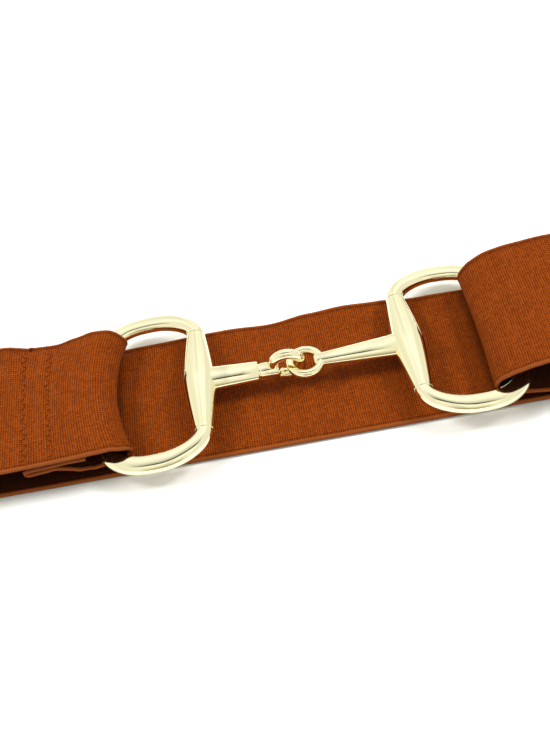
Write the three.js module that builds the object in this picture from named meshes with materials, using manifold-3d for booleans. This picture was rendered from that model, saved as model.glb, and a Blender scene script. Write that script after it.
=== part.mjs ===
// Elastic stretch belt with a two-part bit clasp, lying with the clasp upwards.
// Millimetres. X runs along the belt, Y across it and Z up from the surface that it lies on.
// The webbing is one woven strip: each end goes round the bow of a D ring, comes back under
// itself and is hemmed and sewn down. Each D ring turns on its straight bar inside a barrel.
// One barrel carries a hook and the other an eye, and the hook holds the eye.

import * as THREE from 'three';
import Module from 'manifold-3d';
import { mergeVertices } from 'three/addons/utils/BufferGeometryUtils.js';

const wasm = await Module();
wasm.setup();

// Webbing
const webWidth = 50;
const webThickness = 1.4;
const webPlyGap = 0.4; // air between plies that are sewn together
const beltLength = 350; // the closed loop laid flat, from bend to bend
const leftHemReach = 27.8; // from the left fold to the end of its hem
const leftFrontHeight = 12.9; // middle of the front ply above the surface
const rightHemReach = 68;
const rightFrontHeight = 19.4;
const hemTurnIn = 19; // length of the raw end that is turned in

// D rings
const ringEase = 0.2; // inner height of a D ring less the webbing's width
const ringReach = 37.2; // from the barrel's axis to the outside of the bow
const ringCrown = 14.6; // where the bow is highest, from the barrel's axis
const bowWidth = 5.9;
const bowThickness = 4.1;
const bowLean = 8; // degrees that the bow's section leans down outwards
const shoulderWidth = 5.6; // the bow's width where it meets the barrel
const ringDroop = 3; // degrees that a D ring hangs below the barrel's level

// Barrels and the bars inside them
const barrelLength = 39.2;
const barrelWidth = 10.6;
const barrelEndWidth = 5.6;
const barrelFlatness = 0.8; // a barrel's height as a share of its width
const barDiameter = 3;
const barPlay = 0.3;
const shoulderPlay = 0.5; // between the barrel's end and the shoulder of the ring
const barrelHeight = 8.1; // axis above the surface

// Cannons, hook and eye
const cannonRoot = 9.2; // width at the barrel
const cannonFlatness = 0.66; // a cannon's height as a share of its width
const hookCannonLength = 18.7; // from the barrel's axis
const hookCannonTip = 7.1;
const neckWidth = 4.9;
const neckLength = 0.8;
const blockWidth = 5.4;
const blockLength = 5.6;
const hookRadius = 4.5; // middle of the hook's wire
const hookWire = 3.3;
const hookRise = 1.2; // hook's centre above the cannon's axis
const eyeCannonLength = 29;
const eyeCannonTip = 4.6;
const eyeRadius = 4.9; // middle of the eye's wire
const eyeWire = 2.7;
const hookPlay = 0.3;

const leftYaw = -0.9; // degrees that each half of the clasp lies turned
const rightYaw = 1.3;
const claspShift = -0.2; // across the belt
const leftSlide = -0.1; // how far each ring has slid in its barrel towards the front
const rightSlide = 0.2;
const rightRoll = 1.5; // degrees that the second half lies lower at the back

const rad = THREE.MathUtils.degToRad;
const mix = THREE.MathUtils.lerp;

// Joins rings of points into one closed skin. A ring's first and last points face each other.
function loft(rings, closed) {
  const count = rings[0].length;
  const index = [];
  const quad = (a, b, c, d) => index.push(a, b, c, a, c, d);
  const joints = closed ? rings.length : rings.length - 1;
  for (let i = 0; i < joints; i++) {
    const here = i * count;
    const next = ((i + 1) % rings.length) * count;
    for (let j = 0; j < count; j++) {
      const k = (j + 1) % count;
      quad(here + j, here + k, next + k, next + j);
    }
  }
  if (!closed) {
    const end = (rings.length - 1) * count;
    for (let j = 0; j < count / 2 - 1; j++) {
      const k = count - 1 - j;
      quad(j, k, k - 1, j + 1);
      quad(end + j, end + j + 1, end + k - 1, end + k);
    }
  }
  const geometry = new THREE.BufferGeometry();
  geometry.setAttribute('position', new THREE.Float32BufferAttribute(rings.flat().flatMap((p) => p.toArray()), 3));
  geometry.setIndex(index);
  return outward(geometry);
}

function signedVolume(geometry) {
  const at = (n) => new THREE.Vector3().fromBufferAttribute(geometry.attributes.position, geometry.index.getX(n));
  let volume = 0;
  for (let n = 0; n < geometry.index.count; n += 3) {
    volume += at(n).dot(at(n + 1).cross(at(n + 2))) / 6;
  }
  return volume;
}

// Turns a skin whose faces point inwards.
function outward(geometry) {
  if (signedVolume(geometry) < 0) geometry.index.array.reverse();
  return geometry;
}

// Merges a geometry's shared points and leaves out the empty triangles at its poles.
function weld(geometry) {
  geometry.deleteAttribute('normal');
  geometry.deleteAttribute('uv');
  const merged = mergeVertices(geometry, 1e-4);
  const index = [];
  for (let n = 0; n < merged.index.count; n += 3) {
    const corner = [0, 1, 2].map((k) => merged.index.getX(n + k));
    if (new Set(corner).size === 3) index.push(...corner);
  }
  merged.setIndex(index);
  return outward(merged);
}

function solid(geometry) {
  const { attributes, index } = weld(geometry);
  return new wasm.Manifold(new wasm.Mesh({
    numProp: 3,
    vertProperties: attributes.position.array,
    triVerts: new Uint32Array(index.array),
  }));
}

function geometryOf(manifold) {
  const { vertProperties, triVerts } = manifold.getMesh();
  const geometry = new THREE.BufferGeometry();
  geometry.setAttribute('position', new THREE.BufferAttribute(vertProperties, 3));
  geometry.setIndex(new THREE.BufferAttribute(triVerts, 1));
  return geometry;
}

// A turned solid about the X axis, from rows of [x, diameter].
function turned(rows, sides) {
  const profile = rows.map(([x, diameter]) => new THREE.Vector2(diameter / 2, x));
  profile.unshift(new THREE.Vector2(0, rows[0][0]));
  profile.push(new THREE.Vector2(0, rows.at(-1)[0]));
  return new THREE.LatheGeometry(profile, sides).rotateZ(-Math.PI / 2);
}

// Barrel: a low spindle with a collar at each end, its axis along Y, bored for the ring's bar.
const barrelSides = 20;
const collarLength = 0.9;
const collarStep = 0.35;
const barrelTaper = 1.4; // 2 would be a round lens, 1 a pointed one

function barrelSolid() {
  const half = barrelLength / 2;
  const collar = barrelEndWidth + collarStep;
  const rows = [[-half, collar], [-half + collarLength, collar]];
  const steps = 14;
  for (let i = 0; i <= steps; i++) {
    const share = mix(-1, 1, i / steps) * (1 - collarLength / half);
    rows.push([share * half, mix(barrelWidth, barrelEndWidth, Math.abs(share) ** barrelTaper)]);
  }
  rows.push([half - collarLength, collar], [half, collar]);
  return solid(turned(rows, barrelSides).rotateZ(Math.PI / 2).scale(1, 1, barrelFlatness));
}

function boreSolid() {
  return solid(new THREE.CylinderGeometry(barDiameter / 2 + barPlay, barDiameter / 2 + barPlay, barrelLength * 2, 12));
}

// Hook: a wire bent round a circle in an upright plane, up and over the eye and back beneath it.
const hookStart = 205; // degrees, inside the block
const hookEnd = -129;
const blockEnd = hookCannonLength + neckLength + blockLength;
const hookInside = hookRadius - hookWire / 2;
const hookCentre = new THREE.Vector3(blockEnd + hookInside - 0.1, 0, hookRise);

function hookGeometry() {
  const steps = 22;
  const sides = 12;
  const rings = [];
  for (let i = 0; i <= steps; i++) {
    const turn = rad(mix(hookStart, hookEnd, i / steps));
    const out = new THREE.Vector3(Math.cos(turn), 0, Math.sin(turn));
    const ring = [];
    for (let j = 0; j < sides; j++) {
      const angle = (j + 0.5) / sides * 2 * Math.PI;
      const point = hookCentre.clone().addScaledVector(out, hookRadius + hookWire / 2 * Math.cos(angle));
      point.y = hookWire / 2 * Math.sin(angle);
      ring.push(point);
    }
    rings.push(ring);
  }
  return loft(rings, false);
}

function hookBar() {
  const cannon = turned([
    [0, cannonRoot],
    [hookCannonLength, hookCannonTip],
    [hookCannonLength, neckWidth],
    [hookCannonLength + neckLength, neckWidth],
    [hookCannonLength + neckLength, blockWidth],
    [blockEnd, blockWidth],
  ], 18).scale(1, 1, cannonFlatness);
  return geometryOf(barrelSolid().add(solid(cannon)).add(solid(hookGeometry())).subtract(boreSolid()));
}

// Eye: a flat ring at the end of the second cannon.
const eyeCentre = eyeCannonLength + eyeRadius - eyeWire / 2 + 0.4;

function eyeBar() {
  const cannon = turned([[0, cannonRoot], [eyeCannonLength, eyeCannonTip]], 18).scale(1, 1, cannonFlatness);
  const eye = new THREE.TorusGeometry(eyeRadius, eyeWire / 2, 10, 28).translate(eyeCentre, 0, 0);
  return geometryOf(barrelSolid().add(solid(cannon)).add(solid(eye)).subtract(boreSolid()));
}

// D ring: one closed wire. Its straight bar is round, and its bow is a wider cast section
// that leans outwards, with a flat inner wall and a flat foot.
const ringHalf = (webWidth + ringEase) / 2 + bowWidth / 2; // middle of the bow
const shoulder = barrelLength / 2 + shoulderPlay;

function bowPoints() {
  const top = new THREE.CubicBezierCurve(
    new THREE.Vector2(0, shoulder),
    new THREE.Vector2(0, mix(shoulder, ringHalf, 0.42)),
    new THREE.Vector2(ringCrown * 0.45, ringHalf),
    new THREE.Vector2(ringCrown, ringHalf),
  ).getPoints(9);
  const round = [];
  const steps = 22;
  const square = 2 / 2.75; // fuller than an ellipse
  for (let i = 1; i < steps; i++) {
    const turn = Math.PI * (0.5 - i / steps);
    const u = ringCrown + (ringReach - bowWidth / 2 - ringCrown) * Math.cos(turn) ** square;
    const v = ringHalf * Math.sign(turn) * Math.abs(Math.sin(turn)) ** square;
    round.push(new THREE.Vector2(u, v));
  }
  const bottom = top.map((p) => new THREE.Vector2(p.x, -p.y)).reverse();
  return [...top, ...round, ...bottom];
}

// One section of the ring: half its width, half its thickness and its lean.
function ringSection(centre, normal, halfWidth, halfThickness, lean, flat) {
  const sides = 12;
  const ring = [];
  for (let j = 0; j < sides; j++) {
    const angle = (j + 0.5) / sides * 2 * Math.PI;
    const out = halfWidth * Math.cos(angle);
    const up = halfThickness * Math.sin(angle);
    const leantOut = out * Math.cos(lean) + up * Math.sin(lean);
    const leantUp = up * Math.cos(lean) - out * Math.sin(lean);
    const n = Math.max(leantOut, -halfWidth * flat);
    const z = Math.max(leantUp, -halfThickness * flat);
    ring.push(new THREE.Vector3(-centre.x - normal.x * n, centre.y + normal.y * n, z));
  }
  return ring;
}

function ringGeometry() {
  const points = bowPoints();
  const last = points.length - 1;
  const rings = points.map((point, i) => {
    const atShoulder = i === 0 || i === last;
    const along = atShoulder ? new THREE.Vector2(0, 1) : points[i + 1].clone().sub(points[i - 1]).normalize();
    const normal = new THREE.Vector2(-along.y, along.x);
    const full = Math.min(1, point.x / ringCrown);
    const halfWidth = mix(shoulderWidth, bowWidth, full) / 2;
    const halfThickness = mix(shoulderWidth * 0.85, bowThickness, full) / 2;
    return ringSection(point, normal, halfWidth, halfThickness, rad(bowLean) * full, mix(1, 0.86, full));
  });
  const bar = [-1, 1].map((side) => ringSection(
    new THREE.Vector2(0, side * shoulder), new THREE.Vector2(-1, 0), barDiameter / 2, barDiameter / 2, 0, 1,
  ));
  return loft([...rings, ...bar], true);
}

// Webbing. Each end is drawn from a table of how it lies.
// along: distance out from the fold, as a share of the hem's reach
// height: of the ply's middle, as a share of the front height
// near, far: how much higher the ply's two edges lie, as a share of its width
const leftFront = [
  { along: 0.13, height: 0.965, near: 0, far: 0.002 },
  { along: 0.3, height: 1.01, near: 0.01, far: -0.006 },
  { along: 0.49, height: 0.985, near: 0.005, far: -0.028 },
  { along: 0.7, height: 0.945, near: 0.01, far: -0.05 },
  { along: 0.95, height: 0.94, near: 0.005, far: -0.04 },
  { along: 1.27, height: 0.97, near: -0.005, far: 0.005 },
  { along: 1.9, height: 1, near: 0, far: 0 },
];
const leftReturn = [
  { along: 0.08, height: 0.33, near: 0, far: 0 },
  { along: 0.16, height: 0.24, near: 0, far: 0 },
  { along: 0.27, height: 0.235, near: 0.02, far: 0.015 },
  { along: 0.4, height: 0.31, near: 0.02, far: 0.015 },
  { along: 0.52, height: 0.5, near: 0.01, far: -0.01 },
];
const rightFront = [
  { along: 0.012, height: 0.58, near: 0.01, far: 0 },
  { along: 0.05, height: 0.69, near: 0.02, far: 0.012 },
  { along: 0.115, height: 0.815, near: 0.02, far: 0.014 },
  { along: 0.19, height: 0.905, near: 0.01, far: 0.008 },
  { along: 0.29, height: 0.97, near: 0, far: 0 },
  { along: 0.4, height: 1, near: 0, far: 0 },
  { along: 0.52, height: 0.985, near: 0, far: 0 },
  { along: 0.66, height: 0.92, near: 0, far: 0 },
  { along: 0.81, height: 0.85, near: 0, far: 0 },
  { along: 0.96, height: 0.815, near: 0, far: 0 },
  { along: 1.12, height: 0.8, near: 0, far: 0 },
];
const rightReturn = [
  { along: 0.014, height: 0.31, near: 0, far: 0 },
  { along: 0.055, height: 0.2, near: 0.01, far: -0.005 },
  { along: 0.13, height: 0.165, near: 0.022, far: -0.012 },
  { along: 0.25, height: 0.17, near: 0.022, far: -0.008 },
  { along: 0.42, height: 0.2, near: 0.01, far: 0 },
  { along: 0.55, height: 0.32, near: 0, far: 0 },
  { along: 0.68, height: 0.5, near: 0, far: 0 },
  { along: 0.78, height: 0.6, near: 0, far: 0 },
];
// Back ply: x as a share of the belt's length, and how far its far edge is lifted off the surface.
const backWave = [
  { x: -0.474, far: 0 },
  { x: -0.2, far: 0.002 },
  { x: -0.14, far: 0.014 },
  { x: -0.07, far: 0.028 },
  { x: -0.026, far: 0.006 },
  { x: 0.012, far: 0.044 },
  { x: 0.045, far: 0.058 },
  { x: 0.078, far: 0.044 },
  { x: 0.115, far: 0.01 },
  { x: 0.2, far: 0.001 },
  { x: 0.47, far: 0 },
];
const leftFoldPinch = 0.9; // width of the webbing inside a D ring, as a share
const rightFoldPinch = 0.95;
const leftFoldAt = 0.7136; // outside of the fold, as a share of the ring's reach from the barrel
const rightFoldAt = 0.5857;
const leftFoldBow = 0.118; // how far the fold's middle lies outside its edges, as a share of the reach
const foldShift = 0.5; // the folds follow the rings across the belt
const rightFoldBow = 0.02;

const pinchRun = 5.2; // from the fold to where the front ply has its full width again
const tuckRun = 14; // the same for the ply under it

const plyStep = webThickness + webPlyGap;

// Height of the front ply at a distance from the fold, read from its table.
function heightAt(rows, along) {
  const next = rows.findIndex((row) => row.along > along);
  if (next < 0) return rows.at(-1).height;
  if (next === 0) return rows[0].height;
  const [a, b] = [rows[next - 1], rows[next]];
  return mix(a.height, b.height, (along - a.along) / (b.along - a.along));
}

// The route of one end from its raw edge, through the hem, round the D ring and out to the bend.
function endRoute({ foldX, reach, height, front, back, foldHeight, bow, pinched }) {
  const widthAt = (run) => mix(pinched, 1, Math.min(1, run));
  const at = (row, extra) => ({
    x: foldX + row.along * reach, z: row.height * height, near: row.near * webWidth, far: row.far * webWidth,
    bow: bow * Math.max(0, 1 - row.along * reach / ringHalf),
    width: widthAt(row.along * reach / pinchRun), ...extra,
  });
  const ply = (along, drop) => {
    const row = front.find((r) => r.along >= along) ?? front.at(-1);
    const top = at({ ...row, along, height: heightAt(front, along) }, { width: 1, bow: 0 });
    return { ...top, z: top.z - drop * plyStep };
  };
  const turn = 1 - plyStep / 2 / reach;
  const rawEnd = 1 - hemTurnIn / reach;
  const hem = [rawEnd, mix(rawEnd, turn, 0.33), mix(rawEnd, turn, 0.67), turn].map((along) => ply(along, 1));
  const fold = [45, 90, 135].map((angle) => {
    const swing = rad(angle);
    const edge = ply(turn, 1.5);
    return { ...edge, x: edge.x + plyStep / 2 * Math.sin(swing), z: edge.z + plyStep / 2 * Math.cos(swing) };
  });
  const under = [turn, mix(back.at(-1).along, turn, 0.6), mix(back.at(-1).along, turn, 0.3)].map((along) => ply(along, 2));
  const tucked = (row) => at(row, { width: widthAt((row.along * reach / tuckRun) ** 2) });
  const tip = { x: foldX, z: foldHeight, near: 0, far: 0, bow, width: pinched };
  return [...hem, ...fold, ...under, ...[...back].reverse().map(tucked), tip, ...front.map((row) => at(row))];
}

// The half-turn at an end of the flattened loop, from the front ply down to the back ply.
function bendRoute(topZ, side) {
  const radius = (topZ - webThickness / 2) / 2;
  const centreX = beltLength / 2 - radius - webThickness / 2;
  return [0, 15, 40, 65, 90, 115, 140, 165, 180].map((angle) => ({
    x: side * (centreX + radius * Math.sin(rad(angle))),
    z: webThickness / 2 + radius + radius * Math.cos(rad(angle)),
    near: 0, far: 0, bow: 0, width: 1,
  }));
}

function webbingRoute() {
  const left = endRoute({
    foldX: barrelSpan / 2 + ringReach * leftFoldAt + webThickness / 2,
    reach: leftHemReach, height: leftFrontHeight, front: leftFront, back: leftReturn,
    foldHeight: leftFrontHeight * 0.62, bow: -ringReach * leftFoldBow, pinched: leftFoldPinch,
  }).map((row) => ({ ...row, x: -row.x, bow: -row.bow }));
  const right = endRoute({
    foldX: barrelSpan / 2 + ringReach * rightFoldAt + webThickness / 2,
    reach: rightHemReach, height: rightFrontHeight, front: rightFront, back: rightReturn,
    foldHeight: rightFrontHeight * 0.46, bow: -ringReach * rightFoldBow, pinched: rightFoldPinch,
  });
  const back = backWave.map((row) => ({
    x: row.x * beltLength, z: webThickness / 2, near: 0, far: row.far * webWidth, bow: 0, width: 1,
  }));
  return [
    ...left, ...bendRoute(left.at(-1).z, -1), ...back,
    ...bendRoute(right.at(-1).z, 1).reverse(), ...right.reverse(),
  ];
}

function webbingGeometry() {
  const route = webbingRoute();
  const spread = (pick) => new THREE.CatmullRomCurve3(
    route.map((row) => new THREE.Vector3(...pick(row))), false, 'centripetal',
  );
  const path = spread((row) => [row.x, 0, row.z]);
  const lifts = route.map((row) => [row.near, row.far, row.bow, row.width]);
  const across = [-1, -0.8, -0.4, 0, 0.4, 0.8, 1];
  const substeps = 2;
  const rings = [];
  const count = (route.length - 1) * substeps;
  for (let i = 0; i <= count; i++) {
    const t = i / count;
    const point = path.getPoint(t);
    const along = path.getTangent(t);
    const normal = new THREE.Vector3(-along.z, 0, along.x).multiplyScalar(webThickness / 2);
    const cell = Math.min(Math.floor(i / substeps), route.length - 2);
    const [near, far, bow, width] = lifts[cell].map((low, k) => mix(low, lifts[cell + 1][k], i / substeps - cell));
    const half = webWidth / 2 * width;
    const column = (share, side) => new THREE.Vector3(
      point.x + bow * share * share + side * normal.x,
      half * share + foldShift * (1 - width) / (1 - leftFoldPinch),
      point.z + (share < 0 ? near : far) * share * share + side * normal.z,
    );
    rings.push([...across.map((s) => column(s, 1)), ...[...across].reverse().map((s) => column(s, -1))]);
  }
  return loft(rings, false);
}

// The eye's wire sits in the hook's lower outer corner, which sets how far apart the barrels are.
const seatTurn = rad(-38);
const seat = hookInside - eyeWire / 2 - hookPlay;
const barrelSpan = hookCentre.x + seat * Math.cos(seatTurn) + eyeRadius + eyeCentre;
const eyeLift = hookRise + seat * Math.sin(seatTurn);

const webbingMaterial = new THREE.MeshStandardMaterial({ color: 0x9a4a17, roughness: 0.9, metalness: 0 });
const goldMaterial = new THREE.MeshStandardMaterial({ color: 0xe6d9a8, roughness: 0.18, metalness: 1 });

function piece(name, geometry, material) {
  const mesh = new THREE.Mesh(geometry, material);
  mesh.name = name;
  return mesh;
}

// One half of the clasp: its barrel stands across the belt, and its D ring reaches outwards.
function claspHalf(side, { yaw, roll, lift, slide }, bar, ring) {
  const half = new THREE.Group();
  const drooped = new THREE.Group();
  drooped.rotation.y = -rad(ringDroop);
  drooped.position.y = slide;
  drooped.add(ring);
  const risen = new THREE.Group();
  risen.rotation.y = -Math.asin(lift / (barrelSpan / 2));
  risen.add(bar);
  half.add(risen, drooped);
  half.position.set(side * barrelSpan / 2, claspShift + Math.abs(Math.sin(rad(yaw))) * barrelSpan / 2, barrelHeight);
  half.rotation.set(rad(roll), 0, rad(yaw) + (side > 0 ? Math.PI : 0), 'ZYX');
  return half;
}

const belt = new THREE.Group();
belt.add(
  claspHalf(-1, { yaw: leftYaw, roll: 0, lift: 0, slide: -leftSlide }, piece('hook_bar', hookBar(), goldMaterial), piece('hook_side_ring', ringGeometry(), goldMaterial)),
  claspHalf(1, { yaw: rightYaw, roll: rightRoll, lift: eyeLift, slide: rightSlide }, piece('eye_bar', eyeBar(), goldMaterial), piece('eye_side_ring', ringGeometry(), goldMaterial)),
  piece('elastic_webbing', webbingGeometry(), webbingMaterial),
);

// The origin is at the middle of the box that the belt fills, on the surface under it.
belt.updateMatrixWorld(true);
const box = new THREE.Box3().setFromObject(belt);
belt.position.set(-(box.min.x + box.max.x) / 2, -(box.min.y + box.max.y) / 2, -box.min.z);

export default belt;
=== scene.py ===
"""Elastic stretch belt with a snaffle-bit clasp, lying on a pale table.
Sizes are in millimetres until a mesh is made, but the table's and the lamps' are in metres.
X runs along the belt and Z is up."""

import math

import bmesh
import bpy
from mathutils import Matrix, Vector, noise


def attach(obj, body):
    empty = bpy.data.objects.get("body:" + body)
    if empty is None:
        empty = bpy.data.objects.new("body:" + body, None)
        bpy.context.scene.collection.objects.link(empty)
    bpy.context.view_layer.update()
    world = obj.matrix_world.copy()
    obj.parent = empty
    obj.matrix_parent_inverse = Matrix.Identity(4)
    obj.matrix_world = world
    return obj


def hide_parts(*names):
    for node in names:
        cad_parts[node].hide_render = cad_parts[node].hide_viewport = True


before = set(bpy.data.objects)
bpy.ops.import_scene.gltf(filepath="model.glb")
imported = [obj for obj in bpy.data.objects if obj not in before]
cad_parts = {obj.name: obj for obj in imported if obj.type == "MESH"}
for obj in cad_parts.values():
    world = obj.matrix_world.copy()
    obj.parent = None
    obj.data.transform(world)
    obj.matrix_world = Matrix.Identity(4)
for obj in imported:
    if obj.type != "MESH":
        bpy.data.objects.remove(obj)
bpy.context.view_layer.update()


# Camera: it looks down on the clasp from the front at 50 degrees, turned so that the belt
# climbs to the right across the picture.
camera_data = bpy.data.cameras.new("camera")
camera_data.lens = 50.28
camera_data.sensor_width = 36
camera_data.clip_start = 0.01
camera = bpy.data.objects.new("camera", camera_data)
camera_right = Vector((0.98389, -0.12864, -0.12416)).normalized()
camera_up = Vector((0.17833, 0.75527, 0.63068)).normalized()
camera_axes = Matrix((camera_right, camera_up, camera_right.cross(camera_up))).transposed()
camera_place = Vector((-5.197, -207.011, 254.719)) / 1000
camera.matrix_world = Matrix.Translation(camera_place) @ camera_axes.to_4x4()
bpy.context.scene.collection.objects.link(camera)
bpy.context.scene.camera = camera


# Webbing: one strip of woven elastic, 50 mm wide. It lies in a flattened loop. Each end goes
# round the bow of a D ring, comes back under itself, and is turned in and sewn down.
def mix(a, b, share):
    return a + (b - a) * share


def clamp(value):
    return max(0.0, min(1.0, value))


web_width = 50
web_thickness = 1.4
ply_gap = 0.4
belt_length = 350
left_hem_reach = 27.8
left_front_height = 12.9
right_hem_reach = 68
right_front_height = 19.4
hem_turn_in = 19
left_fold_width = 0.9  # width of the strip inside a D ring, as a share
right_fold_width = 0.95
fold_shift = 0.5
pinch_run = 5.2  # from the fold to where the front ply has its full width again
tuck_run = 14  # the same for the ply under it
ring_reach = 37.2  # from a barrel's axis to the outside of its ring
half_span = 33.323  # from the middle of the clasp to a barrel's axis
edge_half = 28.05  # middle of a ring's bow, from its centre line
cad_shift = Vector((0, -0.723, 0.018))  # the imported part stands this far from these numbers
left_fold_at = 0.7136  # where the fold stands in its ring, as a share of the ring's reach
right_fold_at = 0.5857
left_fold_rise = 0.62  # height of the fold's tip, as a share of the front ply's height
right_fold_rise = 0.46
left_fold_bow = 0.118  # how much nearer the barrel the fold's edges are than its middle, as a share
right_fold_bow = 0.02
left_fold_x = half_span + ring_reach * left_fold_at + web_thickness / 2
right_fold_x = half_span + ring_reach * right_fold_at + web_thickness / 2

# How each ply lies: distance from the fold and height of its middle, as shares, and then how
# much higher its near and far edges are, as shares of the width.
left_front = [
    (0.13, 0.965, 0, 0.002), (0.3, 1.01, 0.01, -0.006), (0.49, 0.985, 0.005, -0.028),
    (0.7, 0.945, 0.01, -0.05), (0.95, 0.94, 0.005, -0.04), (1.27, 0.97, -0.005, 0.005), (1.9, 1, 0, 0),
]
left_return = [
    (0.08, 0.33, 0, 0), (0.16, 0.24, 0, 0), (0.27, 0.235, 0.02, 0.015), (0.4, 0.31, 0.02, 0.015),
    (0.52, 0.5, 0.01, -0.01),
]
right_front = [
    (0.012, 0.58, 0.01, 0), (0.05, 0.69, 0.02, 0.012), (0.115, 0.815, 0.02, 0.014),
    (0.19, 0.905, 0.01, 0.008), (0.29, 0.97, 0, 0), (0.4, 1, 0, 0), (0.52, 0.985, 0, 0),
    (0.66, 0.92, 0, 0), (0.81, 0.85, 0, 0), (0.96, 0.815, 0, 0), (1.12, 0.8, 0, 0),
]
right_return = [
    (0.014, 0.31, 0, 0), (0.055, 0.2, 0.01, -0.005), (0.13, 0.165, 0.022, -0.012),
    (0.25, 0.17, 0.022, -0.008), (0.42, 0.2, 0.01, 0), (0.55, 0.32, 0, 0), (0.68, 0.5, 0, 0),
    (0.78, 0.6, 0, 0),
]
back_wave = [
    (-0.474, 0), (-0.2, 0.002), (-0.14, 0.014), (-0.07, 0.028), (-0.026, 0.006), (0.012, 0.044),
    (0.045, 0.058), (0.078, 0.044), (0.115, 0.01), (0.2, 0.001), (0.47, 0),
]
ply_step = web_thickness + ply_gap


def station(x, z, near=0.0, far=0.0, bow=0.0, width=1.0):
    return (x, z, near * web_width, far * web_width, bow, width)


def height_at(rows, along):
    after = next((i for i, row in enumerate(rows) if row[0] > along), None)
    if after is None:
        return rows[-1][1]
    if after == 0:
        return rows[0][1]
    low, high = rows[after - 1], rows[after]
    return mix(low[1], high[1], (along - low[0]) / (high[0] - low[0]))


def end_route(fold_x, reach, height, front, back, fold_height, bow, pinched):
    """The stations of one end, from its raw edge through the hem and the ring to the front ply."""
    def ply(along, drop):
        row = next((r for r in front if r[0] >= along), front[-1])
        z = height_at(front, along) * height - drop * ply_step
        return station(fold_x + along * reach, z, row[2], row[3])

    def lie(row, width_share):
        along, z, near, far = row
        bowed = bow * max(0, 1 - along * reach / edge_half)
        width = mix(pinched, 1, width_share)
        return station(fold_x + along * reach, z * height, near, far, bowed, width)

    turn = 1 - ply_step / 2 / reach
    raw_end = 1 - hem_turn_in / reach
    route = [ply(mix(raw_end, turn, share), 1) for share in (0, 0.33, 0.67, 1)]
    edge = ply(turn, 1.5)
    for angle in (45, 90, 135):
        swing = math.radians(angle)
        x = edge[0] + ply_step / 2 * math.sin(swing)
        route.append((x, edge[1] + ply_step / 2 * math.cos(swing), *edge[2:]))
    route += [ply(turn, 2)] + [ply(mix(back[-1][0], turn, share), 2) for share in (0.6, 0.3)]
    route += [lie(row, min(1, (row[0] * reach / tuck_run) ** 2)) for row in reversed(back)]
    route.append(station(fold_x, fold_height, 0, 0, bow, pinched))
    return route + [lie(row, min(1, row[0] * reach / pinch_run)) for row in front]


def bend_route(top, side):
    radius = (top - web_thickness / 2) / 2
    centre = belt_length / 2 - radius - web_thickness / 2
    turns = [math.radians(angle) for angle in (0, 15, 40, 65, 90, 115, 140, 165, 180)]
    return [
        station(side * (centre + radius * math.sin(t)), web_thickness / 2 + radius * (1 + math.cos(t)))
        for t in turns
    ]


left_end = [
    (-x, z, near, far, -bow, width)
    for x, z, near, far, bow, width in end_route(
        left_fold_x, left_hem_reach, left_front_height, left_front, left_return,
        left_front_height * left_fold_rise, -ring_reach * left_fold_bow, left_fold_width,
    )
]
right_end = end_route(
    right_fold_x, right_hem_reach, right_front_height, right_front, right_return,
    right_front_height * right_fold_rise, -ring_reach * right_fold_bow, right_fold_width,
)
web_route = [
    *left_end, *bend_route(left_end[-1][1], -1),
    *[station(x * belt_length, web_thickness / 2, 0, far) for x, far in back_wave],
    *reversed(bend_route(right_end[-1][1], 1)), *reversed(right_end),
]


def spline_point(points, t):
    """A point of the smooth line through these stations, with all their other values."""
    cell = min(int(t), len(points) - 2)
    w = t - cell
    p1, p2 = points[cell], points[cell + 1]
    p0 = points[cell - 1] if cell else tuple(2 * a - b for a, b in zip(p1, p2))
    p3 = points[cell + 2] if cell + 2 < len(points) else tuple(2 * b - a for a, b in zip(p1, p2))

    def knot(a, b):
        return math.dist(a[:2], b[:2]) ** 0.5

    d1 = knot(p1, p2) or 1
    d0, d2 = knot(p0, p1) or d1, knot(p2, p3) or d1
    values = []
    for k, (x0, x1, x2, x3) in enumerate(zip(p0, p1, p2, p3)):
        if k > 1:
            values.append(mix(x1, x2, w * w * (3 - 2 * w)))
            continue
        t1 = ((x1 - x0) / d0 - (x2 - x0) / (d0 + d1) + (x2 - x1) / d1) * d1
        t2 = ((x2 - x1) / d1 - (x3 - x1) / (d1 + d2) + (x3 - x2) / d2) * d1
        a, b = 2 * x1 - 2 * x2 + t1 + t2, -3 * x1 + 3 * x2 - 2 * t1 - t2
        values.append(((a * w + b) * w + t1) * w + x1)
    return values


def even_stations(points, spacing):
    """Stations at even distances along the route, each with its distance from the raw end."""
    fine = [spline_point(points, i / 40) for i in range((len(points) - 1) * 40 + 1)]
    reached = [0.0]
    for a, b in zip(fine, fine[1:]):
        reached.append(reached[-1] + math.dist(a[:2], b[:2]))
    count = round(reached[-1] / spacing)
    rows, k = [], 0
    for i in range(count + 1):
        goal = reached[-1] * i / count
        while k < len(fine) - 2 and reached[k + 1] < goal:
            k += 1
        share = (goal - reached[k]) / max(reached[k + 1] - reached[k], 1e-9)
        rows.append((goal, [mix(a, b, share) for a, b in zip(fine[k], fine[k + 1])]))
    return rows


web_rows = even_stations(web_route, 1.0)
third = len(web_rows) // 3
left_tip = max(range(third), key=lambda i: web_rows[i][1][0])
right_tip = min(range(2 * third, len(web_rows)), key=lambda i: web_rows[i][1][0])

# Stitch rows: where they cross the front plies, and how far the thread pulls the cloth in.
row_gap = 7.6  # between the two rows of a hem
row_inset = 0.5  # from the hem's fold to the outer row
row_slant = 1.4  # the left rows lean this far at their far end
pucker = 0.3
pucker_reach = 1.0
left_rows = [-(left_fold_x + left_hem_reach - row_inset - k * row_gap) for k in (0, 1)]
right_rows = [right_fold_x + right_hem_reach - row_inset - k * row_gap for k in (0, 1)]


def row_at(row, share):
    """Where a stitch row crosses this share of the half width."""
    return row - row_slant * (share + 1) / 2 if row < 0 else row


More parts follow.
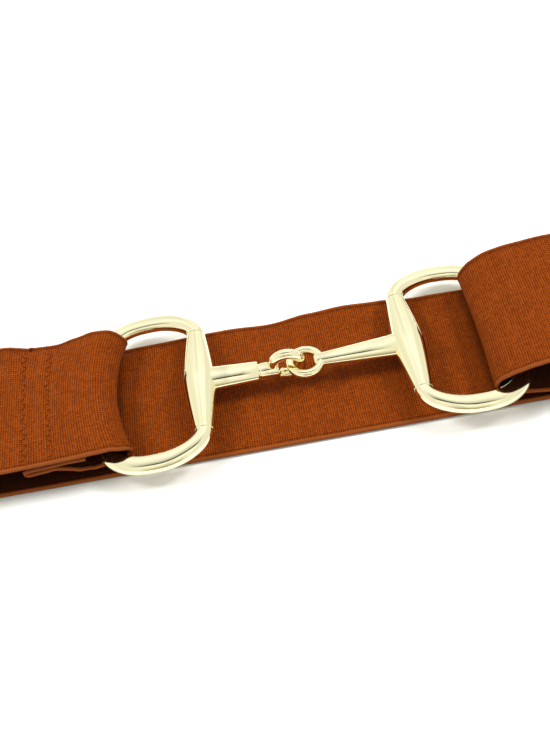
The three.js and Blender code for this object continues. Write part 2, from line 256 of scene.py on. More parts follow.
def pull(x, share):
    rows = left_rows if x < 0 else right_rows
    dips = (math.exp(-(((x - row_at(row, share)) / pucker_reach) ** 2)) for row in rows)
    return pucker * sum(dips)


def web_frame(i):
    """Lie and normal of the webbing at one station."""
    before, after = web_rows[max(i - 1, 0)][1], web_rows[min(i + 1, len(web_rows) - 1)][1]
    run = Vector((after[0] - before[0], 0, after[1] - before[1])).normalized()
    return web_rows[i][1], Vector((-run.z, 0, run.x))


def web_point(here, normal, share, depth):
    """A point across the webbing: share of the half width, and depth from its middle surface."""
    x, z, near, far, bow, width = here
    lift = (near if share < 0 else far) * share * share
    slide = fold_shift * (1 - width) / (1 - left_fold_width)
    point = Vector((x + bow * share * share, web_width / 2 * width * share + slide, z + lift))
    return point + normal * depth + cad_shift


# The strip's section: flat faces, a shallow groove beside each selvedge, and a rounded edge.
# Each row is the distance in from the edge and the share of the half thickness.
flat_inset = 3.0
selvedge = [(flat_inset, 1.0), (2.2, 0.98), (1.75, 0.8), (1.45, 0.8), (1.1, 1.0), (0.7, 1.04)]
edge_turns = [math.radians(angle) for angle in (25, 50, 75, 90, 105, 130, 155)]
half_width = web_width / 2
web_profile = []  # share across, and signed share of the half thickness
for face in (1, -1):
    flat_share = 1 - flat_inset / half_width
    flat = [mix(-flat_share, flat_share, i / 24) for i in range(1, 24)]
    edge = [(1 - inset / half_width, thick) for inset, thick in selvedge]
    run = [(-share, thick) for share, thick in reversed(edge)]
    run += [(share, 1.0) for share in flat] + edge
    turned = [
        (1 - web_thickness / 2 * (1 - math.sin(t)) / half_width, math.cos(t)) for t in edge_turns
    ]
    web_profile += [(face * share, face * thick) for share, thick in run + turned]

# Tones multiply the yarn's colour, and the open faces have 1. The faces inside the loop and the
# turned-back plies get a painted shade, far darker than the real cloth, so that the gaps between the
# plies look as deep as in the photograph. The rim's underside and the groove get painted shade too.
rim_width = 1.1  # the selvedge's plain outer cord
rim_highlight_mark = 1.5  # no real tone: from 1.1 to 1.4 the material turns to the rim's paler colour, a painted highlight
covered_painted_shade = 0.2
# painted shade on the underside of the rim
under_rim_painted_shade = 0.2
# painted shade in the groove beside each selvedge, out to groove_reach
groove_painted_shade = 0.72
groove_reach = 1.9
front_level = 8.8  # front plies lie above this, and the back ply below back_level
back_level = 3
open_margin = 2  # the back ply has the full painted shade from this far beyond the folds
shade_run = 4  # and the painted shade grows over this length before that
pulled_share = 0.95  # the thread pulls the cloth in over this share of the width
swell = 0.1  # slow unevenness of the cloth's surface, over these lengths along and up
swell_pitch, swell_rise = 11, 9
swell_across = 2.1  # how often it changes over half the width


def painted_shade_and_highlight_at(i, share, level, up):
    """The tone at one point of the strip, with its painted shade and the mark for the rim's highlight."""
    inset = half_width * (1 - abs(share))
    if inset < rim_width:
        return rim_highlight_mark if up > -0.25 else under_rim_painted_shade
    open_tone = groove_painted_shade if inset < groove_reach else 1.0
    x = web_rows[i][1][0]
    if level < 0:
        return covered_painted_shade if i < left_tip or i > right_tip else open_tone
    # Between the folds, the back ply takes on painted shade as it nears them.
    if left_tip < i < right_tip and web_rows[i][1][1] < back_level:
        open_run = min(x + left_fold_x, right_fold_x - x) + open_margin
        return mix(covered_painted_shade, open_tone, clamp(open_run / shade_run))
    return covered_painted_shade


def build_webbing():
    points, faces, places, painted_shade_and_highlight = [], [], [], []
    count = len(web_profile)
    for i, (distance, _) in enumerate(web_rows):
        here, normal = web_frame(i)
        x, z = here[0], here[1]
        is_front = left_tip < i < right_tip and z > front_level
        for share, level in web_profile:
            depth = web_thickness / 2 * level
            up = level * (1 if normal.z > 0 else -1)
            if is_front and up > 0.5 and abs(share) < pulled_share:
                depth -= math.copysign(pull(x, share), level)
            spot = Vector((x / swell_pitch, share * swell_across, z / swell_rise))
            depth += noise.noise(spot) * swell
            points.append(web_point(here, normal, share, depth) / 1000)
            places.append((distance / 1000, share * half_width / 1000))
            painted_shade_and_highlight.append(painted_shade_and_highlight_at(i, share, level, up))
    for i in range(len(web_rows) - 1):
        a, b = i * count, (i + 1) * count
        faces += [(a + j, a + (j + 1) % count, b + (j + 1) % count, b + j) for j in range(count)]
    last = (len(web_rows) - 1) * count
    faces.append(tuple(reversed(range(count))))
    faces.append(tuple(last + j for j in range(count)))
    mesh = bpy.data.meshes.new("elastic_webbing_cloth")
    mesh.from_pydata(points, [], faces)
    uv = mesh.uv_layers.new(name="weave")
    for loop in mesh.loops:
        uv.data[loop.index].uv = places[loop.vertex_index]
    mesh.attributes.new("painted_shade_and_highlight", "FLOAT", "POINT").data.foreach_set("value", painted_shade_and_highlight)
    return mesh


def finished(mesh, name, material, angle=180):
    """A smooth-shaded object at the origin whose faces point outwards."""
    work = bmesh.new()
    work.from_mesh(mesh)
    bmesh.ops.recalc_face_normals(work, faces=work.faces)
    if work.calc_volume(signed=True) < 0:
        bmesh.ops.reverse_faces(work, faces=work.faces)
    work.to_mesh(mesh)
    work.free()
    mesh.shade_smooth()
    if angle < 180:
        mesh.set_sharp_from_angle(angle=math.radians(angle))
    mesh.materials.append(material)
    piece = bpy.data.objects.new(name, mesh)
    bpy.context.scene.collection.objects.link(piece)
    return piece


def linear(code):
    """An sRGB hex colour as linear values, with full alpha."""
    channels = [int(code[i:i + 2], 16) / 255 for i in (1, 3, 5)]
    return (*[c / 12.92 if c <= 0.04045 else ((c + 0.055) / 1.055) ** 2.4 for c in channels], 1)


def node(tree, kind, inputs=(), **settings):
    """Adds a node: inputs are sockets to join or values to set, and settings its properties."""
    made = tree.nodes.new(kind)
    for key, value in settings.items():
        setattr(made, key, value)
    for key, value in dict(inputs).items():
        if isinstance(value, bpy.types.NodeSocket):
            tree.links.new(value, made.inputs[key])
        else:
            made.inputs[key].default_value = value
    return made


def new_material(name):
    material = bpy.data.materials.new(name)
    material.use_nodes = True
    material.node_tree.nodes.clear()
    return material, material.node_tree


def ramp_colours(ramp, *stops):
    """Sets a colour ramp from pairs of position and sRGB hex."""
    elements = ramp.color_ramp.elements
    for extra in stops[2:]:
        elements.new(extra[0])
    for element, (position, code) in zip(elements, sorted(stops)):
        element.position, element.color = position, linear(code)


# Woven elastic: textured polyester yarn over rubber, drawn as ribs across and threads along. The
# pitches are set at the limit of what the photograph shows, and the real yarns may be
# finer. Uneven dye makes a fine check. It is matt, with a faint sheen.
rib_pitch = 0.72
thread_pitch = 0.85
wander_scale = 300.0  # per metre: yarns wander from their line over 3.3 mm
wander_reach = 0.0004  # metres
patch_scale = 110.0  # per metre: the dye varies over 9 mm
elastic, tree = new_material("woven_polyester_elastic")
place = node(tree, "ShaderNodeUVMap", uv_map="weave").outputs[0]
wander = node(tree, "ShaderNodeTexNoise", {
    "Vector": place, "Scale": wander_scale, "Detail": 2.0,
}).outputs["Color"]
strayed = node(tree, "ShaderNodeVectorMath", {
    0: wander, 1: (wander_reach, wander_reach, 0), 2: place,
}, operation="MULTIPLY_ADD").outputs[0]
per_metre = (1000 / rib_pitch, 1000 / thread_pitch, 0)
yarns = node(tree, "ShaderNodeVectorMath", {0: strayed, 1: per_metre}, operation="MULTIPLY").outputs[0]
crossing = node(tree, "ShaderNodeVectorMath", {0: yarns}, operation="FLOOR").outputs[0]
rib_number, thread_number = node(tree, "ShaderNodeSeparateXYZ", {0: crossing}).outputs[:2]
speck = node(
    tree, "ShaderNodeTexWhiteNoise", {"Vector": crossing}, noise_dimensions="3D",
).outputs["Value"]
rib_tone = node(
    tree, "ShaderNodeTexWhiteNoise", {"W": rib_number}, noise_dimensions="1D",
).outputs["Value"]
thread_tone = node(
    tree, "ShaderNodeTexWhiteNoise", {"W": thread_number}, noise_dimensions="1D",
).outputs["Value"]
turns = node(tree, "ShaderNodeVectorMath", {0: yarns, 1: (math.tau,) * 3}, operation="MULTIPLY").outputs[0]
waves = node(tree, "ShaderNodeVectorMath", {0: turns}, operation="SINE").outputs[0]
relief = node(
    tree, "ShaderNodeVectorMath", {0: waves, 1: (0.23, 0.15, 0)}, operation="DOT_PRODUCT",
).outputs["Value"]
tones = node(tree, "ShaderNodeCombineXYZ", {0: speck, 1: rib_tone, 2: thread_tone}).outputs[0]
uneven = node(
    tree, "ShaderNodeVectorMath", {0: tones, 1: (0.26, 0.08, 0.07)}, operation="DOT_PRODUCT",
).outputs["Value"]
patch = node(tree, "ShaderNodeTexNoise", {"Vector": place, "Scale": patch_scale, "Detail": 3.0}).outputs[0]
yarn_level = node(tree, "ShaderNodeMath", {0: relief, 1: uneven}, operation="ADD").outputs[0]
level = node(tree, "ShaderNodeMath", {0: patch, 1: 0.16, 2: yarn_level}, operation="MULTIPLY_ADD").outputs[0]
ramp = node(tree, "ShaderNodeValToRGB", {"Fac": level})
ramp_colours(ramp, (0.0, "#582203"), (1.0, "#a34c11"))
# This attribute carries painted shade inside the loop, under the rim, in the grooves and near the folds.
painted_shade_and_highlight = node(tree, "ShaderNodeAttribute", attribute_name="painted_shade_and_highlight").outputs["Fac"]
colour_with_painted_shade = node(tree, "ShaderNodeVectorMath", {0: ramp.outputs[0], "Scale": painted_shade_and_highlight}, operation="SCALE").outputs[0]
# The rim's upper half takes a paler colour than the cloth, a painted highlight.
rim_highlight_share = node(tree, "ShaderNodeMapRange", {"Value": painted_shade_and_highlight, "From Min": 1.1, "From Max": 1.4}).outputs[0]
colour = node(
    tree, "ShaderNodeMix", {"Factor": rim_highlight_share, "A": colour_with_painted_shade, "B": linear("#86451d")}, data_type="RGBA",
).outputs["Result"]
bump = node(tree, "ShaderNodeBump", {"Height": relief, "Strength": 0.6, "Distance": 0.0002}).outputs[0]
cloth = node(tree, "ShaderNodeBsdfPrincipled", {
    "Base Color": colour, "Normal": bump, "Roughness": 0.88, "IOR": 1.46, "Specular IOR Level": 0.12,
    "Sheen Weight": 0.04, "Sheen Roughness": 0.4, "Sheen Tint": linear("#d07a30"),
})
node(tree, "ShaderNodeOutputMaterial", {"Surface": cloth.outputs[0]})

webbing = finished(build_webbing(), "elastic_strip", elastic, angle=60)
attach(webbing, "root")
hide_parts("elastic_webbing")


# Stitches: each hem is held by two zigzag rows in thread of the webbing's own colour. Each
# stitch is one short length of thread that sinks into a needle hole at both ends.
stitch_leg = 2.0  # along the row
stitch_swing = 0.8  # to each side of it
thread_width = 0.46
thread_rise = 0.12  # a stitch's middle line stands this far off the cloth, in thread widths
row_margin = 2.4  # bare webbing at each end of a row


def front_at(x):
    """The front ply's station nearest to a distance along the belt."""
    fronts = (i for i in range(left_tip + 1, right_tip) if web_rows[i][1][1] > front_level)
    return min(fronts, key=lambda i: abs(web_rows[i][1][0] - x))


def surface_point(x, share):
    here, normal = web_frame(front_at(x))
    upward = normal if normal.z > 0 else -normal
    depth = web_thickness / 2 + thread_width * thread_rise - pull(x, share)
    return web_point(here, upward, share, depth)


stitch_points, stitch_runs = [], []
for row in left_rows + right_rows:
    corners = []
    for n in range(int((web_width - 2 * row_margin) / stitch_leg) + 1):
        share = (row_margin + n * stitch_leg) / half_width - 1
        swung = row_at(row, share) + stitch_swing * (1 if n % 2 else -1)
        corners.append(surface_point(swung, share))
    for a, b in zip(corners, corners[1:]):
        stitch_points.append((a + b) / 2000)
        stitch_runs.append((b - a).normalized())

seed_mesh = bpy.data.meshes.new("stitch_places")
seed_mesh.from_pydata(stitch_points, [], [])
run_data = seed_mesh.attributes.new("run", "FLOAT_VECTOR", "POINT").data
run_data.foreach_set("vector", [v for run in stitch_runs for v in run])
stitches = bpy.data.objects.new("hem_stitches", seed_mesh)
bpy.context.scene.collection.objects.link(stitches)

# Spun polyester thread, dyed with the webbing: a soft twist, and a painted shade where it dives into a hole.
sewing_thread, tree = new_material("spun_polyester_thread")
where = node(tree, "ShaderNodeTexCoord").outputs["Object"]
twist_scale = 900.0  # gives a band about every 0.35 mm along the belt
twist = node(tree, "ShaderNodeTexWave", {
    "Vector": where, "Scale": twist_scale, "Distortion": 2.0,
}).outputs["Fac"]
yarn = node(tree, "ShaderNodeValToRGB", {"Fac": twist})
ramp_colours(yarn, (0.0, "#6c2e0b"), (1.0, "#8e4212"))
# Painted shade: the thread darkens towards each end, where it dives into a needle hole.
sunk = node(tree, "ShaderNodeAttribute", attribute_name="sunk").outputs["Fac"]
hole_painted_shade = node(tree, "ShaderNodeMapRange", {
    "Value": sunk, "From Min": 0.5, "From Max": 0.95, "To Min": 1.0, "To Max": 0.12,
}).outputs[0]
yarn_with_painted_shade = node(
    tree, "ShaderNodeVectorMath", {0: yarn.outputs[0], "Scale": hole_painted_shade}, operation="SCALE",
).outputs[0]
thread_skin = node(tree, "ShaderNodeBsdfPrincipled", {
    "Base Color": yarn_with_painted_shade, "Roughness": 0.9, "Specular IOR Level": 0.1,
})
node(tree, "ShaderNodeOutputMaterial", {"Surface": thread_skin.outputs[0]})


def stitch_tree():
    """Geometry nodes: an oval length of thread on every point, turned to the stitch's own run."""
    group = bpy.data.node_groups.new("zigzag_stitches", "GeometryNodeTree")
    face = group.interface
    face.new_socket("Geometry", in_out="INPUT", socket_type="NodeSocketGeometry")
    length = face.new_socket("Stitch length", in_out="INPUT", socket_type="NodeSocketFloat")
    width = face.new_socket("Thread width", in_out="INPUT", socket_type="NodeSocketFloat")
    face.new_socket("Geometry", in_out="OUTPUT", socket_type="NodeSocketGeometry")
    start = node(group, "NodeGroupInput").outputs
    bead = node(group, "GeometryNodeMeshUVSphere", {"Segments": 8, "Rings": 8, "Radius": 0.5}).outputs["Mesh"]
    spot = node(group, "ShaderNodeSeparateXYZ", {0: node(group, "GeometryNodeInputPosition").outputs[0]})
    ends = node(group, "ShaderNodeMath", {0: spot.outputs[2]}, operation="ABSOLUTE").outputs[0]
    share = node(group, "ShaderNodeMath", {0: ends, 1: 2.0}, operation="MULTIPLY").outputs[0]
    # how near each point lies to a bead's end, where the thread's material paints shade
    marked = node(group, "GeometryNodeStoreNamedAttribute", {
        "Geometry": bead, "Name": "sunk", "Value": share,
    })
    size = node(group, "ShaderNodeCombineXYZ", {
        "X": start["Thread width"], "Y": start["Thread width"], "Z": start["Stitch length"],
    }).outputs[0]
    oval = node(group, "GeometryNodeTransform", {"Geometry": marked.outputs["Geometry"], "Scale": size})
    run = node(group, "GeometryNodeInputNamedAttribute", {"Name": "run"}, data_type="FLOAT_VECTOR")
    aimed = node(group, "FunctionNodeAlignRotationToVector", {
        "Vector": run.outputs["Attribute"],
    }, axis="Z")
    placed = node(group, "GeometryNodeInstanceOnPoints", {
        "Points": start["Geometry"], "Instance": oval.outputs["Geometry"],
        "Rotation": aimed.outputs["Rotation"],
    })
    real = node(group, "GeometryNodeRealizeInstances", {"Geometry": placed.outputs["Instances"]})
    smooth = node(group, "GeometryNodeSetShadeSmooth", {"Geometry": real.outputs["Geometry"]})
    skin = node(group, "GeometryNodeSetMaterial", {
        "Geometry": smooth.outputs["Geometry"], "Material": sewing_thread,
    })
    node(group, "NodeGroupOutput", {"Geometry": skin.outputs["Geometry"]})
    return group, length.identifier, width.identifier


group, length_input, width_input = stitch_tree()
modifier = stitches.modifiers.new("zigzag", "NODES")
modifier.node_group = group
modifier[length_input] = math.hypot(stitch_leg, 2 * stitch_swing) / 1000
modifier[width_input] = thread_width / 1000
bpy.context.view_layer.update()
sewn = stitches.evaluated_get(bpy.context.evaluated_depsgraph_get())
stitch_mesh = bpy.data.meshes.new_from_object(sewn)
stitches.modifiers.clear()
stitches.data = stitch_mesh
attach(stitches, "root")


# Barrels, hook and eye: two castings in zinc alloy with pale gold plate. Each has a low spindle
# of a barrel and a tapered cannon, both flattened, and ends in a hook or in an eye.
barrel_length = 39.2
barrel_width = 10.6
barrel_end = 5.6
barrel_flatness = 0.8  # height as a share of the width
barrel_taper = 1.4
collar_length = 0.9
collar_step = 0.35
bar_diameter = 3
bar_play = 0.3
barrel_height = 8.1
cannon_root = 9.2
cannon_flatness = 0.66
hook_cannon_length = 18.7
hook_cannon_tip = 7.1
neck_width = 4.9
neck_length = 0.8
block_width = 5.4
block_length = 5.6
hook_radius = 4.5
hook_wire = 3.3
hook_rise = 1.2
tip_rounding = 0.03  # the last share of the hook, over which its wire is rounded off
hook_ends = (205, -129)
eye_cannon_length = 29
eye_cannon_tip = 4.6
eye_radius = 4.9
eye_wire = 2.7
eye_lift = 0.461
eye_stem_length = 1.2  # from the cannon's tip into the eye
eye_stem_share = 0.4  # radius of its end, as a share of the width of the cannon's tip
hook_root = 0.1  # the inside of the hook starts this far within the end of its block
eye_root = 0.4  # the inside of the eye starts this far past its cannon
core = 0.4  # radius of the face that closes each end of a cannon
corner = 0.2  # a corner is cut off this far to each side
barrel_corner = 0.12
bore_rim = 0.5  # the barrel turns from its round bore to its flattened outside over this
left_yaw, right_yaw = -0.9, 1.3
right_roll = 1.5
clasp_shift = -0.2


def lathe(profile, flatness, axis="X", closed=False, bore=0.0):
    """A turned solid from rows of (distance along the axis, radius), flattened except its bore."""
    points, faces = [], []
    sides = 72
    for along, radius in profile:
        squash = mix(1, flatness, clamp((radius - bore) / bore_rim))
        for j in range(sides):
            t = math.tau * j / sides
            out, up = radius * math.cos(t), radius * math.sin(t) * squash
            points.append(Vector((along, out, up)) if axis == "X" else Vector((out, along, up)))
    rows = len(profile)
    for i in range(rows if closed else rows - 1):
        a, b = i * sides, ((i + 1) % rows) * sides
        faces += [(a + j, a + (j + 1) % sides, b + (j + 1) % sides, b + j) for j in range(sides)]
    if not closed:
        faces.append(tuple(reversed(range(sides))))
        faces.append(tuple((rows - 1) * sides + j for j in range(sides)))
    return points, faces


def swept(rings, closed=False):
    """A skin over rings of points, each with as many points as the next."""
    count = len(rings[0])
    points = [p for ring in rings for p in ring]
    faces = []
    for i in range(len(rings) if closed else len(rings) - 1):
        a, b = i * count, ((i + 1) % len(rings)) * count
        faces += [(a + j, a + (j + 1) % count, b + (j + 1) % count, b + j) for j in range(count)]
    if not closed:
        last = (len(rings) - 1) * count
        faces.append(tuple(reversed(range(count))))
        faces.append(tuple(last + j for j in range(count)))
    return points, faces


def rounded(profile, radius=corner):
    """Breaks the corners of a turned profile, as casting and polishing do."""
    result = [profile[0]]
    for before, here, after in zip(profile, profile[1:], profile[2:]):
        for other in (before, after):
            reach = math.dist(here, other)
            share = min(0.45, radius / reach) if reach else 0
            result.append(tuple(mix(h, o, share) for h, o in zip(here, other)))
    return result + [profile[-1]]


def barrel_solid():
    half = barrel_length / 2
    end = (barrel_end + collar_step) / 2
    bore = bar_diameter / 2 + bar_play
    spindle = []
    for i in range(49):
        share = mix(-1, 1, i / 48) * (1 - collar_length / half)
        spindle.append((share * half, mix(barrel_width, barrel_end, abs(share) ** barrel_taper) / 2))
    profile = rounded([
        (-half, bore), (-half, end), (-half + collar_length, end), *spindle,
        (half - collar_length, end), (half, end), (half, bore),
    ], barrel_corner)
    return lathe(profile, barrel_flatness, axis="Y", closed=True, bore=bore)


block_end = hook_cannon_length + neck_length + block_length
hook_inside = hook_radius - hook_wire / 2
hook_centre = Vector((block_end + hook_inside - hook_root, 0, hook_rise))


def hook_solid():
    """The hook's wire, rounded off at its tip."""
    rings = []
    steps, sides = 90, 36
    for i in range(steps + 1):
        share = i / steps
        turn = math.radians(mix(*hook_ends, share))
        out = Vector((math.cos(turn), 0, math.sin(turn)))
        past = max(0, (share - 1 + tip_rounding) / tip_rounding)
        tip = min(1, math.sqrt(max(0.3, 1 - past ** 2)))
        rings.append([
            hook_centre + out * (hook_radius + hook_wire / 2 * tip * math.cos(t))
            + Vector((0, hook_wire / 2 * tip * math.sin(t), 0))
            for t in (math.tau * j / sides for j in range(sides))
        ])
    return swept(rings)


def eye_solid():
    rings = []
    centre = eye_cannon_length + eye_radius - eye_wire / 2 + eye_root
    for i in range(96):
        turn = math.tau * i / 96
        out = Vector((math.cos(turn), math.sin(turn), 0))
        rings.append([
            Vector((centre, 0, 0)) + out * (eye_radius + eye_wire / 2 * math.cos(t))
            + Vector((0, 0, eye_wire / 2 * math.sin(t)))
            for t in (math.tau * j / 32 for j in range(32))
        ])
    return swept(rings, closed=True)


def hook_cannon_solid():
    neck_end = hook_cannon_length + neck_length
    return lathe(rounded([
        (0, core), (0, cannon_root / 2), (hook_cannon_length, hook_cannon_tip / 2),
        (hook_cannon_length, neck_width / 2), (neck_end, neck_width / 2),
        (neck_end, block_width / 2), (block_end, block_width / 2), (block_end, core),
    ]), cannon_flatness)


def eye_cannon_solid():
    stem_end = eye_cannon_length + eye_stem_length
    return lathe(rounded([
        (0, core), (0, cannon_root / 2), (eye_cannon_length, eye_cannon_tip / 2),
        (stem_end, eye_cannon_tip * eye_stem_share), (stem_end, core),
    ]), cannon_flatness)


def half_matrix(side, yaw, roll):
    """Where one half of the clasp stands, with its barrel's middle at its own origin."""
    turn = math.radians(yaw) + (math.pi if side > 0 else 0)
    across = clasp_shift + abs(math.sin(math.radians(yaw))) * half_span
    place = Vector((side * half_span, across, barrel_height)) + cad_shift
    spin = Matrix.Rotation(turn, 4, "Z") @ Matrix.Rotation(math.radians(roll), 4, "X")
    return Matrix.Translation(place) @ spin


def joined(parts, name, matrix):
    points, faces = [], []
    for part_points, part_faces in parts:
        start = len(points)
        points += [(matrix @ p) / 1000 for p in part_points]
        faces += [tuple(start + n for n in face) for face in part_faces]
    mesh = bpy.data.meshes.new(name)
    mesh.from_pydata(points, [], faces)
    return mesh


# Pale gold plate: cast zinc alloy, tumbled, polished and plated. It mirrors the studio softly,
# with very fine tumbling marks, and its colour varies a little over about a centimetre.
marks_scale = 2200.0  # per metre: tumbling marks about 0.5 mm apart
cloud_scale = 90.0  # per metre: the plate varies over 11 mm
gold_plate, tree = new_material("polished_pale_gold_plate")
where = node(tree, "ShaderNodeTexCoord").outputs["Object"]
marks = node(tree, "ShaderNodeTexNoise", {"Vector": where, "Scale": marks_scale, "Detail": 2.0}).outputs[0]
cloud = node(tree, "ShaderNodeTexNoise", {"Vector": where, "Scale": cloud_scale, "Detail": 2.0}).outputs[0]
tint = node(tree, "ShaderNodeValToRGB", {"Fac": cloud})
ramp_colours(tint, (0.3, "#fdf9cf"), (0.7, "#fef7d2"))
gloss = node(tree, "ShaderNodeMapRange", {"Value": cloud, "To Min": 0.07, "To Max": 0.13}).outputs[0]
tumbled = node(tree, "ShaderNodeBump", {"Height": marks, "Strength": 0.04, "Distance": 0.0001}).outputs[0]
plate = node(tree, "ShaderNodeBsdfPrincipled", {
    "Base Color": tint.outputs[0], "Roughness": gloss, "Normal": tumbled, "Metallic": 1.0,
})
node(tree, "ShaderNodeOutputMaterial", {"Surface": plate.outputs[0]})

left_place = half_matrix(-1, left_yaw, 0)
right_place = half_matrix(1, right_yaw, right_roll)
eye_tilt = Matrix.Rotation(-math.asin(eye_lift / half_span), 4, "Y")
for name, solids, matrix, replaced in (
    ("hook_casting", [barrel_solid(), hook_cannon_solid(), hook_solid()], left_place, "hook_bar"),
    (
        "eye_casting", [barrel_solid(), eye_cannon_solid(), eye_solid()],
        right_place @ eye_tilt, "eye_bar",
    ),
):
    casting = finished(joined(solids, name, matrix), name, gold_plate, angle=40)
    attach(casting, "root")
    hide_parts(replaced)


# D rings: the same plated alloy. The bow is a wide, low casting with soft edges, and the
# straight bar between its shoulders turns inside the barrel. The shoulders stand closer to the
# barrel than in the CAD model, because the photograph shows almost no joint there.
ring_ease = 0.2
bow_width = 5.9
bow_thickness = 4.1
bow_lean = 8
ring_crown = 14.6
shoulder_width = 5.6
shoulder_play = 0.04
shoulder_rise = 0.42  # how straight the shoulder leaves the barrel
shoulder_flatness = 0.85
crown_pull = 0.45  # how early the shoulder turns into the crown
bow_fullness = 0.82  # below 1, an oval with flatter sides
ring_droop = 3
ring_half = (web_width + ring_ease) / 2 + bow_width / 2
shoulder = barrel_length / 2 + shoulder_play
bow_square = 2 / 2.75  # fuller than an ellipse


def bow_line():
    """The middle of the bow, from one shoulder to the other."""
    controls = [
        (0, shoulder), (0, mix(shoulder, ring_half, shoulder_rise)),
        (ring_crown * crown_pull, ring_half), (ring_crown, ring_half),
    ]
    top = []
    for i in range(28):
        t = i / 27
        weights = ((1 - t) ** 3, 3 * t * (1 - t) ** 2, 3 * t * t * (1 - t), t ** 3)
        top.append(tuple(sum(w * c[k] for w, c in zip(weights, controls)) for k in (0, 1)))
    arc = []
    for i in range(1, 90):
        turn = math.pi * (0.5 - i / 90)
        u = ring_crown + (ring_reach - bow_width / 2 - ring_crown) * math.cos(turn) ** bow_square
        v = ring_half * math.copysign(abs(math.sin(turn)) ** bow_square, turn)
        arc.append((u, v))
    return top + arc + [(u, -v) for u, v in reversed(top)]


def ring_section(centre, normal, half_wide, half_thick, lean, full):
    """One section: an oval with flatter sides, leaning down outwards."""
    ring = []
    power = mix(1, bow_fullness, full)
    for j in range(40):
        t = math.tau * j / 40
        out = half_wide * math.copysign(abs(math.cos(t)) ** power, math.cos(t))
        up = half_thick * math.copysign(abs(math.sin(t)) ** power, math.sin(t))
        leant_out = out * math.cos(lean) + up * math.sin(lean)
        leant_up = up * math.cos(lean) - out * math.sin(lean)
        ring.append(Vector((
            -centre[0] - normal[0] * leant_out, centre[1] + normal[1] * leant_out, leant_up,
        )))
    return ring


def ring_solid():
    line = bow_line()
    last = len(line) - 1
    rings = []
    for i, point in enumerate(line):
        run = (0, 1)
        if 0 < i < last:
            step = (line[i + 1][0] - line[i - 1][0], line[i + 1][1] - line[i - 1][1])
            run = tuple(s / math.hypot(*step) for s in step)
        full = min(1, point[0] / ring_crown)
        full = full * full * (3 - 2 * full)
        rings.append(ring_section(
            point, (-run[1], run[0]), mix(shoulder_width, bow_width, full) / 2,
            mix(shoulder_width * shoulder_flatness, bow_thickness, full) / 2,
            math.radians(bow_lean) * full, full,
        ))
    half_bar = bar_diameter / 2
    for side in (-1, 1):
        rings.append(ring_section((0, side * shoulder), (-1, 0), half_bar, half_bar, 0, 0))
    return swept(rings, closed=True)


droop = Matrix.Rotation(-math.radians(ring_droop), 4, "Y")
for name, place, replaced in (
    ("hook_side_bow", left_place, "hook_side_ring"), ("eye_side_bow", right_place, "eye_side_ring"),
):
    ring = finished(joined([ring_solid()], name, place @ droop), name, gold_plate, angle=50)
    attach(ring, "root")
    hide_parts(replaced)


# Table: a plain board with a matt white laminate face, much larger than the belt. Its tone
# varies very slightly, over about 25 mm.
table_reach = 3.0  # metres, as is the level
table_level = -0.0002
paper_scale = 40.0  # per metre: the paper varies over 25 mm
floor_mesh = bpy.data.meshes.new("table_top")
table_corners = ((-1, -1), (1, -1), (1, 1), (-1, 1))
floor_mesh.from_pydata(
    [(x * table_reach, y * table_reach, table_level) for x, y in table_corners], [], [(0, 1, 2, 3)],
)
white, tree = new_material("matt_white_laminate")
where = node(tree, "ShaderNodeTexCoord").outputs["Object"]
grain = node(tree, "ShaderNodeTexNoise", {"Vector": where, "Scale": paper_scale, "Detail": 2.0}).outputs[0]
paper = node(tree, "ShaderNodeValToRGB", {"Fac": grain})
ramp_colours(paper, (0.0, "#ececea"), (1.0, "#f0f0ee"))
top = node(tree, "ShaderNodeBsdfPrincipled", {"Base Color": paper.outputs[0], "Roughness": 0.7})
node(tree, "ShaderNodeOutputMaterial", {"Surface": top.outputs[0]})
floor_mesh.materials.append(white)
floor = bpy.data.objects.new("table_top", floor_mesh)
bpy.context.scene.collection.objects.link(floor)


# Studio: two soft lamps above the belt, left and right, in a room of pale panels. The plate
# mirrors the panels and not the lamps. A dark strip overhead, a little to the front, gives the
# cannons their dark line. It runs left to right and fades out to both sides.
def softbox(name, place, power, size):
    data = bpy.data.lights.new(name, "AREA")
    data.energy = power
    data.shape = "RECTANGLE"
    data.size, data.size_y = size
    lamp = bpy.data.objects.new(name, data)
    lamp.location = place
    lamp.rotation_euler = (-Vector(place)).to_track_quat("-Z", "Y").to_euler()
    lamp.visible_glossy = False
    bpy.context.scene.collection.objects.link(lamp)


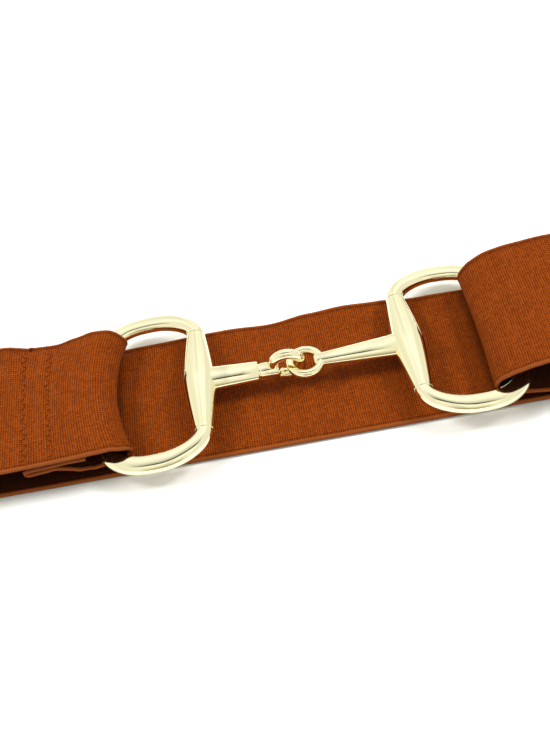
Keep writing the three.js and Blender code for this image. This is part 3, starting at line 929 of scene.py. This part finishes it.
lamp_power = 7.8
lamp_size = (0.32, 0.32)
softbox("left_lamp", (-0.72, 0.16, 0.88), lamp_power, lamp_size)
softbox("right_lamp", (0.72, 0.16, 0.88), lamp_power, lamp_size)

world = bpy.data.worlds.new("studio")
world.use_nodes = True
tree = world.node_tree
tree.nodes.clear()
look = node(tree, "ShaderNodeTexCoord").outputs["Generated"]
front_to_back = (0, 0.996, 0.087)  # tipped 5 degrees, which leans the strip to the front
sweep = node(
    tree, "ShaderNodeVectorMath", {0: look, 1: front_to_back}, operation="DOT_PRODUCT",
).outputs["Value"]
share = node(tree, "ShaderNodeMapRange", {"Value": sweep, "From Min": -1.0}).outputs[0]
panels = node(tree, "ShaderNodeValToRGB", {"Fac": share})
ramp_colours(
    panels, (0.0, "#8a7f6c"), (1.0, "#e8e6de"), (0.14, "#d8d2c2"), (0.32, "#f6f4ea"), (0.43, "#fdfdf8"),
    (0.45, "#262522"), (0.515, "#2e2d2b"), (0.545, "#a2a29e"), (0.62, "#cfcfcc"), (0.7, "#eeeeea"),
    (0.81, "#ffffff"),
)
across = node(tree, "ShaderNodeSeparateXYZ", {0: look}).outputs[0]
off_middle = node(tree, "ShaderNodeMath", {0: across}, operation="ABSOLUTE").outputs[0]
beside = node(tree, "ShaderNodeMapRange", {
    "Value": off_middle, "From Min": 0.28, "From Max": 0.5,
}).outputs[0]
walls = node(
    tree, "ShaderNodeMix", {"Factor": beside, "A": panels.outputs[0], "B": linear("#e8e6de")},
    data_type="RGBA",
).outputs["Result"]
streaks = node(
    tree, "ShaderNodeTexNoise", {"W": across, "Scale": 4.0, "Detail": 1.0}, noise_dimensions="1D",
).outputs[0]
streak = node(tree, "ShaderNodeMapRange", {
    "Value": streaks, "From Min": 0.2, "From Max": 0.75, "To Min": 0.93, "To Max": 1.3,
}).outputs[0]
sky = node(tree, "ShaderNodeBackground", {"Color": walls, "Strength": streak})
node(tree, "ShaderNodeOutputWorld", {"Surface": sky.outputs[0]})
bpy.context.scene.world = world
bpy.context.scene.view_settings.view_transform = "Standard"
